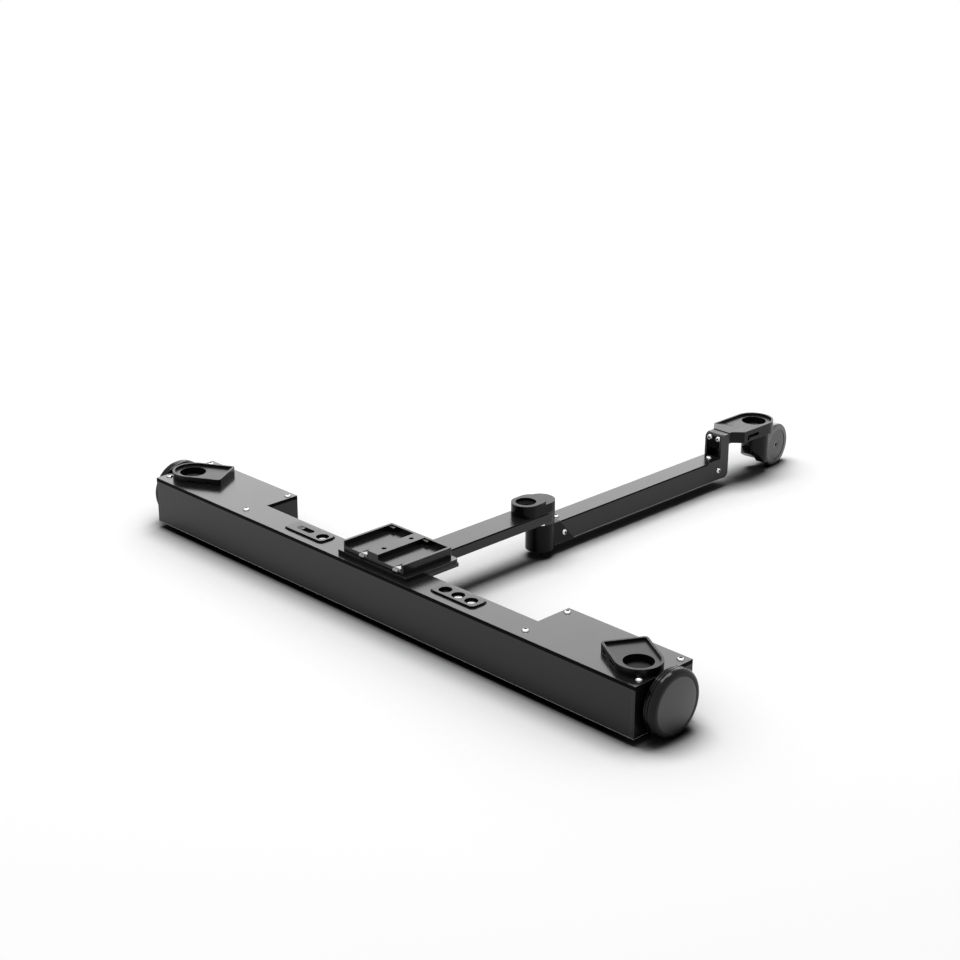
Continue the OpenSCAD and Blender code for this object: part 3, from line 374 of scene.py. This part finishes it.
def screwHead(s):
    # Half profile: a thin ring, the rim, the dome, then the socket with its six flats; the ring and
    # the socket's inside are painted dark as shade
    radius, height = s["headRadius"] * mm, s["headHeight"] * mm
    shadeRingRadius, shadeRingTop = s["shadeRingRadius"] * mm, s["shadeRingHeight"] * mm
    rimHeight, under = s["rimShare"] * height, -s["sunk"] * mm
    full = math.radians(s["domeAngle"])
    profile = [(shadeRingRadius, under), (shadeRingRadius, shadeRingTop), (radius, shadeRingTop), (radius, rimHeight)]
    for step in range(1, s["domeSteps"] + 1):
        turn = full * step / s["domeSteps"]
        rise = math.sin(turn) / math.sin(full)
        profile.append((radius * math.cos(turn), rimHeight + (height - rimHeight) * rise))
    wider, mouthDepth = s["mouth"]
    socket = [(wider, height), (1.0, height - mouthDepth * mm),
              (1.0, height - s["socketDepth"] * mm)]
    form = bmesh.new()
    rings = []
    for k in range(len(profile) + len(socket)):
        ring = []
        for side in range(s["sides"]):
            turn = 2 * math.pi * side / s["sides"]
            if k < len(profile):
                r, z = profile[k]
            else:
                spread, z = socket[k - len(profile)]
                sector = math.remainder(turn, math.pi / 3)
                r = spread * s["socketRadius"] * mm * math.cos(math.pi / 6) / math.cos(sector)
            ring.append(form.verts.new((r * math.cos(turn), r * math.sin(turn), z)))
        rings.append(ring)
    dark = form.faces.layers.int.new("dark")
    for k, (low, high) in enumerate(zip(rings, rings[1:])):
        for side in range(s["sides"]):
            after = (side + 1) % s["sides"]
            face = form.faces.new((low[side], low[after], high[after], high[side]))
            face.smooth = True
            # The ring and the socket's faces take the socket shade paint: painted shade
            face[dark] = int(k < 2 or k > len(profile))
    for loop in (rings[-1], list(reversed(rings[0]))):
        form.faces.new(loop)[dark] = 1
    mesh = bpy.data.meshes.new("screwHead")
    form.to_mesh(mesh)
    form.free()
    return bpy.data.objects.new("screwHead", mesh)


def screwTree():
    tree = bpy.data.node_groups.new("screwsAtPoints", "GeometryNodeTree")
    face = tree.interface
    face.new_socket("Geometry", in_out="INPUT", socket_type="NodeSocketGeometry")
    face.new_socket("Screw", in_out="INPUT", socket_type="NodeSocketObject")
    face.new_socket("Size", in_out="INPUT", socket_type="NodeSocketFloat")
    face.new_socket("Paint", in_out="INPUT", socket_type="NodeSocketMaterial")
    face.new_socket("Socket Paint", in_out="INPUT", socket_type="NodeSocketMaterial")
    face.new_socket("Geometry", in_out="OUTPUT", socket_type="NodeSocketGeometry")
    start = tree.nodes.new("NodeGroupInput")
    end = tree.nodes.new("NodeGroupOutput")
    piece = addNode(tree, "GeometryNodeObjectInfo")
    turn = addNode(tree, "GeometryNodeInputNamedAttribute", {"Name": "turn"},
                   data_type="FLOAT_VECTOR")
    asTurn = addNode(tree, "FunctionNodeEulerToRotation")
    place = addNode(tree, "GeometryNodeInstanceOnPoints")
    whole = addNode(tree, "GeometryNodeRealizeInstances")
    painted = addNode(tree, "GeometryNodeSetMaterial")
    isShadeFace = addNode(tree, "GeometryNodeInputNamedAttribute", {"Name": "dark"}, data_type="INT")
    shadePainted = addNode(tree, "GeometryNodeSetMaterial")
    link = tree.links.new
    link(start.outputs["Screw"], piece.inputs["Object"])
    link(start.outputs["Geometry"], place.inputs["Points"])
    link(piece.outputs["Geometry"], place.inputs["Instance"])
    link(turn.outputs["Attribute"], asTurn.inputs[0])
    link(asTurn.outputs[0], place.inputs["Rotation"])
    link(start.outputs["Size"], place.inputs["Scale"])
    link(place.outputs["Instances"], whole.inputs["Geometry"])
    link(whole.outputs["Geometry"], painted.inputs["Geometry"])
    link(start.outputs["Paint"], painted.inputs["Material"])
    link(painted.outputs["Geometry"], shadePainted.inputs["Geometry"])
    # Painted shade on the ring and inside the socket
    link(isShadeFace.outputs["Attribute"], shadePainted.inputs["Selection"])
    link(start.outputs["Socket Paint"], shadePainted.inputs["Material"])
    link(shadePainted.outputs["Geometry"], end.inputs["Geometry"])
    return tree


def setInput(modifier, tree, name, value):
    for item in tree.interface.items_tree:
        if item.in_out == "INPUT" and item.name == name:
            modifier[item.identifier] = value


def screwPlaces(node):
    # Each loose solid of the node is one screw: its flat underside gives the seat and the direction
    form = bmesh.new()
    form.from_mesh(nodes[node].data)
    bmesh.ops.remove_doubles(form, verts=form.verts, dist=weld)
    form.verts.ensure_lookup_table()
    left = set(form.verts)
    places = []
    while left:
        group, waiting = set(), [next(iter(left))]
        while waiting:
            vert = waiting.pop()
            if vert in group:
                continue
            group.add(vert)
            waiting.extend(edge.other_vert(vert) for edge in vert.link_edges)
        left -= group
        low = Vector([min(v.co[i] for v in group) for i in range(3)])
        high = Vector([max(v.co[i] for v in group) for i in range(3)])
        middle = (low + high) / 2
        size = high - low
        along = max(range(3), key=lambda i: abs(size[i] - 2 * screw["headRadius"] * mm))
        # The head is the wide end, so the vertices lean towards it
        across = [i for i in range(3) if i != along]
        reach = screw["wideFrom"] * screw["headRadius"] * mm
        wide = [v.co[along] for v in group
                if math.hypot(*((v.co - middle)[i] for i in across)) > reach]
        headMiddle = sum(wide) / len(wide)
        sign = 1 if headMiddle > middle[along] else -1
        axis = Vector([sign if i == along else 0 for i in range(3)])
        seat = Vector(middle)
        seat[along] = min(wide) if sign > 0 else max(wide)
        places.append((seat, axis))
    form.free()
    # The loose solids come in no fixed order, so they are put in one
    return sorted(places, key=lambda place: [round(c / mm, 2) for c in place[0]])


def setScrews(body, names):
    tree = bpy.data.node_groups.get("screwsAtPoints") or screwTree()
    head = bpy.data.objects.get("screwHead") or screwHead(screw)
    places = [place for name in names for place in screwPlaces(name)]
    points = bpy.data.meshes.new(body + "ScrewPoints")
    points.from_pydata([seat for seat, axis in places], [], [])
    turns = points.attributes.new("turn", "FLOAT_VECTOR", "POINT")
    firstSpin, spinStep = screw["spin"]
    for k, (seat, axis) in enumerate(places):
        spin = Matrix.Rotation(firstSpin + spinStep * k, 3, "Z")
        turn = (axis.to_track_quat("Z", "X").to_matrix() @ spin).to_euler()
        turns.data[k].vector = turn
    holder = bpy.data.objects.new(body + "ScrewPoints", points)
    scene.collection.objects.link(holder)
    modifier = holder.modifiers.new("screws", "NODES")
    modifier.node_group = tree
    setInput(modifier, tree, "Screw", head)
    setInput(modifier, tree, "Size", screw["size"])
    setInput(modifier, tree, "Paint", paints["brightSteel"])
    setInput(modifier, tree, "Socket Paint", paints["socketShade"])
    holder.update_tag()
    bpy.context.view_layer.update()
    graph = bpy.context.evaluated_depsgraph_get()
    mesh = bpy.data.meshes.new_from_object(holder.evaluated_get(graph))
    piece = bpy.data.objects.new(body + "_screw_heads", mesh)
    scene.collection.objects.link(piece)
    bpy.data.objects.remove(holder)
    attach(piece, body)
    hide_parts(*names)


for body, names in screwNodes.items():
    setScrews(body, names)
print("screws set")


# Thin trim: painted shade lines and painted highlight lines on the edges, the raised panels, and
# painted shade liners in the wells

trim = {
    "halfDepth": 413.173,     # from the front face to the middle of the part
    "groundGap": 8.75,        # from the floor to the foot of the beam
    "proud": 0.03,            # how far a line stands out of its face
    "depth": 0.2,             # how far it goes into it
    "weld": 1e-7,
}


def row(x, y, z):
    # Millimetres from the front, at the foot of the beam, to the scene's metres
    return Vector((x, y - trim["halfDepth"], z + trim["groundGap"])) * mm


def fromRow(vert):
    return vert.co.x / mm, vert.co.y / mm + trim["halfDepth"], vert.co.z / mm - trim["groundGap"]


def pieceFrom(form, name, body, paint, replaced=None):
    mesh = bpy.data.meshes.new(name)
    form.to_mesh(mesh)
    form.free()
    mesh.materials.append(paints[paint])
    piece = bpy.data.objects.new(name, mesh)
    scene.collection.objects.link(piece)
    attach(piece, body)
    if replaced:
        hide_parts(replaced)


def trimPiece(form, name, body, paint):
    bmesh.ops.remove_doubles(form, verts=form.verts, dist=trim["weld"])
    bmesh.ops.recalc_face_normals(form, faces=form.faces)
    pieceFrom(form, name, body, paint)


def addBand(form, outline, low, high, outer, inner):
    # A closed band round an outline that runs counterclockwise, mitred at each corner
    count = len(outline)
    rings = [[], [], [], []]
    for k in range(count):
        before, here, after = (Vector(outline[(k + j) % count]) for j in (-1, 0, 1))
        first, second = (here - before).normalized(), (after - here).normalized()
        outs = [Vector((first.y, -first.x)), Vector((second.y, -second.x))]
        mitre = (outs[0] + outs[1]) / (1 + outs[0].dot(outs[1]))
        section = ((outer, low), (outer, high), (-inner, high), (-inner, low))
        for ring, (reach, z) in zip(rings, section):
            at = here + mitre * reach
            ring.append(form.verts.new(row(at.x, at.y, z)))
    for a, b in zip(rings, rings[1:] + rings[:1]):
        for k in range(count):
            form.faces.new((a[k], a[(k + 1) % count], b[(k + 1) % count], b[k]))


def addBlock(form, xs, ys, zs):
    corners = [form.verts.new(row(x, y, z)) for x in xs for y in ys for z in zs]
    sides = ((0, 1, 3, 2), (4, 6, 7, 5), (0, 4, 5, 1), (2, 3, 7, 6), (0, 2, 6, 4), (1, 5, 7, 3))
    for face in sides:
        form.faces.new([corners[k] for k in face])


def addSideLines(form, half, ys, zs):
    # The same line on both sides of an arm
    for sign in (-1, 1):
        xs = sorted((sign * (half - trim["depth"]), sign * (half + trim["proud"])))
        addBlock(form, xs, ys, zs)


def addTurned(form, place, profile, steps=48):
    rings = []
    for k in range(steps):
        turn = 2 * math.pi * k / steps
        right, back = math.cos(turn), math.sin(turn)
        rings.append([form.verts.new(row(place[0] + r * right, place[1] + r * back, z))
                      for r, z in profile])
    for a, b in zip(rings, rings[1:] + rings[:1]):
        for k in range(len(profile) - 1):
            form.faces.new((a[k], b[k], b[k + 1], a[k + 1]))


def roundedOutline(place, size, steps=6):
    length, width, corner = size
    outline = []
    for sx, sy, start in ((1, 1, 0), (-1, 1, 90), (-1, -1, 180), (1, -1, 270)):
        for k in range(steps + 1):
            turn = math.radians(start + 90 * k / steps)
            outline.append((place[0] + sx * (length / 2 - corner) + corner * math.cos(turn),
                            place[1] + sy * (width / 2 - corner) + corner * math.sin(turn)))
    return outline


panel = {
    "nodes": ("control_panel_left", "control_panel_right"),
    "places": [(-133.5, 24.4), (133.5, 24.4)],
    "size": (70.0, 23.6, 6.0),      # length, width, corner
    "coverTop": 62.5,
    "raiseFrom": 62.7,
    "raiseBy": 0.9,
    # The black band round each panel's side and foot: painted shade
    "shadeBandTop": 64.5,
    "shadeBandDepth": 0.3,
    "shadeFootReach": 2.3,
}


def raisePanel(node, s):
    # The panel stands higher on the cover, so its edge is thicker and its wells are deeper
    form = bmesh.new()
    form.from_mesh(nodes[node].data)
    bmesh.ops.remove_doubles(form, verts=form.verts, dist=weld)
    for vert in form.verts:
        if vert.co.z > row(0, 0, s["raiseFrom"]).z:
            vert.co.z += s["raiseBy"] * mm
    pieceFrom(form, node + "_raised", "beam", "panelBlack", node)


for node in panel["nodes"]:
    raisePanel(node, panel)
print("panels raised")

beamLines = {
    "outline": [(-425, 0), (425, 0), (425, 94), (243, 94),
                (243, 43), (-243, 43), (-243, 94), (-425, 94)],
    "shadeUnderCover": (57.7, 62.4),
    "shadeCoverDepth": 0.4,
    "glintFoot": (0.0, 0.75),
}


def addBeamLines(s, panelSettings):
    # Black bands under the cover's edge and round the panels: painted shade
    form = bmesh.new()
    addBand(form, s["outline"], *s["shadeUnderCover"], trim["proud"], s["shadeCoverDepth"])
    low, high = panelSettings["coverTop"], panelSettings["shadeBandTop"]
    for place in panelSettings["places"]:
        outline = roundedOutline(place, panelSettings["size"])
        addBand(form, outline, low, high, trim["proud"], panelSettings["shadeBandDepth"])
        addBand(form, outline, low, low + trim["depth"], panelSettings["shadeFootReach"], trim["depth"])
    trimPiece(form, "cover_edge_trim", "beam", "paintedShadeBlack")

    # A pale line along the beam's foot: painted highlight
    form = bmesh.new()
    addBand(form, s["outline"], *s["glintFoot"], trim["proud"], trim["depth"])
    trimPiece(form, "beam_lower_line", "beam", "paintedGlint")


addBeamLines(beamLines, panel)

armLines = {
    "shadeUnderTop": (2.3, 0.15),        # the painted shade line's two edges, down from the arm's top
    "glintHeight": 0.75,
    "rearEnd": 665.0,
    "riserFront": 630.0,
    "seamGap": (1.0, 2.0),          # from the seam to the painted highlight line and to the painted shade line
    "frontHalf": 19.2,
    "frontSpan": (94.0, 296.0),
    "plate": ((0, 50.75), (125.0, 85.5, 4.0)),
    "plateShadeHeights": [(66.8, 67.55), (64.1, 65.1)],
    "level": 0.1,                   # vertices this near the arm's top or foot belong to it
}


def addArmLines(s):
    arm = [fromRow(vert) for vert in nodes["rear_arm"].data.vertices]
    half = max(x for x, y, z in arm)
    low, high = min(z for x, y, z in arm), max(z for x, y, z in arm)
    seamFoot = min(y for x, y, z in arm if z < low + s["level"])
    seamTop = min(y for x, y, z in arm if z > high - s["level"])
    lower, upper = s["shadeUnderTop"]
    glintGap, shadeGap = s["seamGap"]
    # A pale line along the rear arm's foot on both sides: painted highlight
    form = bmesh.new()
    addSideLines(form, half, (seamFoot + glintGap, s["rearEnd"]), (low, low + s["glintHeight"]))
    trimPiece(form, "rear_arm_lower_line", "rear_section", "paintedGlint")

    # A black line under the rear arm's top edge: painted shade
    form = bmesh.new()
    addSideLines(form, half, (seamTop + shadeGap, s["riserFront"]), (high - lower, high - upper))
    trimPiece(form, "rear_arm_edge_line", "rear_section", "paintedShadeBlack")

    top = max(fromRow(vert)[2] for vert in nodes["front_arm"].data.vertices)
    # Black lines along the front arm and round the base plate: painted shade
    form = bmesh.new()
    addSideLines(form, s["frontHalf"], s["frontSpan"], (top - lower, top - upper))
    for heights in s["plateShadeHeights"]:
        addBand(form, roundedOutline(*s["plate"]), *heights, trim["proud"], trim["depth"])
    trimPiece(form, "plate_and_arm_lines", "beam", "paintedShadeBlack")
    return high


armTop = addArmLines(armLines)

riserShadeSheet = {
    "left": -11.4,
    "right": 11.4,
    "front": 658.5,
    "depth": 0.1,
    "aboveArm": 13.05,
    "top": 67.5,
}


def addRiserShadeSheet(s):
    # A black sheet on the riser's recessed face: painted shade
    form = bmesh.new()
    ys = (s["front"] - trim["proud"], s["front"] + s["depth"])
    addBlock(form, (s["left"], s["right"]), ys, (armTop + s["aboveArm"], s["top"]))
    trimPiece(form, "riser_face", "rear_section", "paintedShadeBlack")


addRiserShadeSheet(riserShadeSheet)

socketShadeLiner = {
    "place": (112.0, 24.4),
    "profile": [(0, 61.9), (3.46, 61.9), (3.46, 55.92), (8.1, 55.92), (8.1, 64.45), (8.18, 64.45),
                (8.18, 55.84), (3.38, 55.84), (3.38, 61.8), (0, 61.8)],
}
buttonShadeRing = {
    "places": {"left_push_button": -109.0, "inner_push_button": 133.5, "outer_push_button": 155.0},
    "across": 24.4,
    "inner": 4.9,
    "outer": 7.66,
    "low": 61.38,
    "high": 61.50,
    "slope": 0.25,
    "lip": 0.04,
}


def addShadeLiners(socket, s):
    form = bmesh.new()
    # A black liner in the socket's well: painted shade
    addTurned(form, socket["place"], socket["profile"])
    trimPiece(form, "socket_liner", "beam", "paintedShadeBlack")
    inner, outer, low, high = s["inner"], s["outer"], s["low"], s["high"]
    profile = [(inner, low), (outer, low), (outer, high), (inner + s["slope"], high),
               (inner, low + s["lip"]), (inner, low)]
    # Black rings in the button wells: painted shade
    for body, x in s["places"].items():
        form = bmesh.new()
        addTurned(form, (x, s["across"]), profile)
        trimPiece(form, body + "_collar", body, "paintedShadeBlack")


addShadeLiners(socketShadeLiner, buttonShadeRing)
print("trim added")
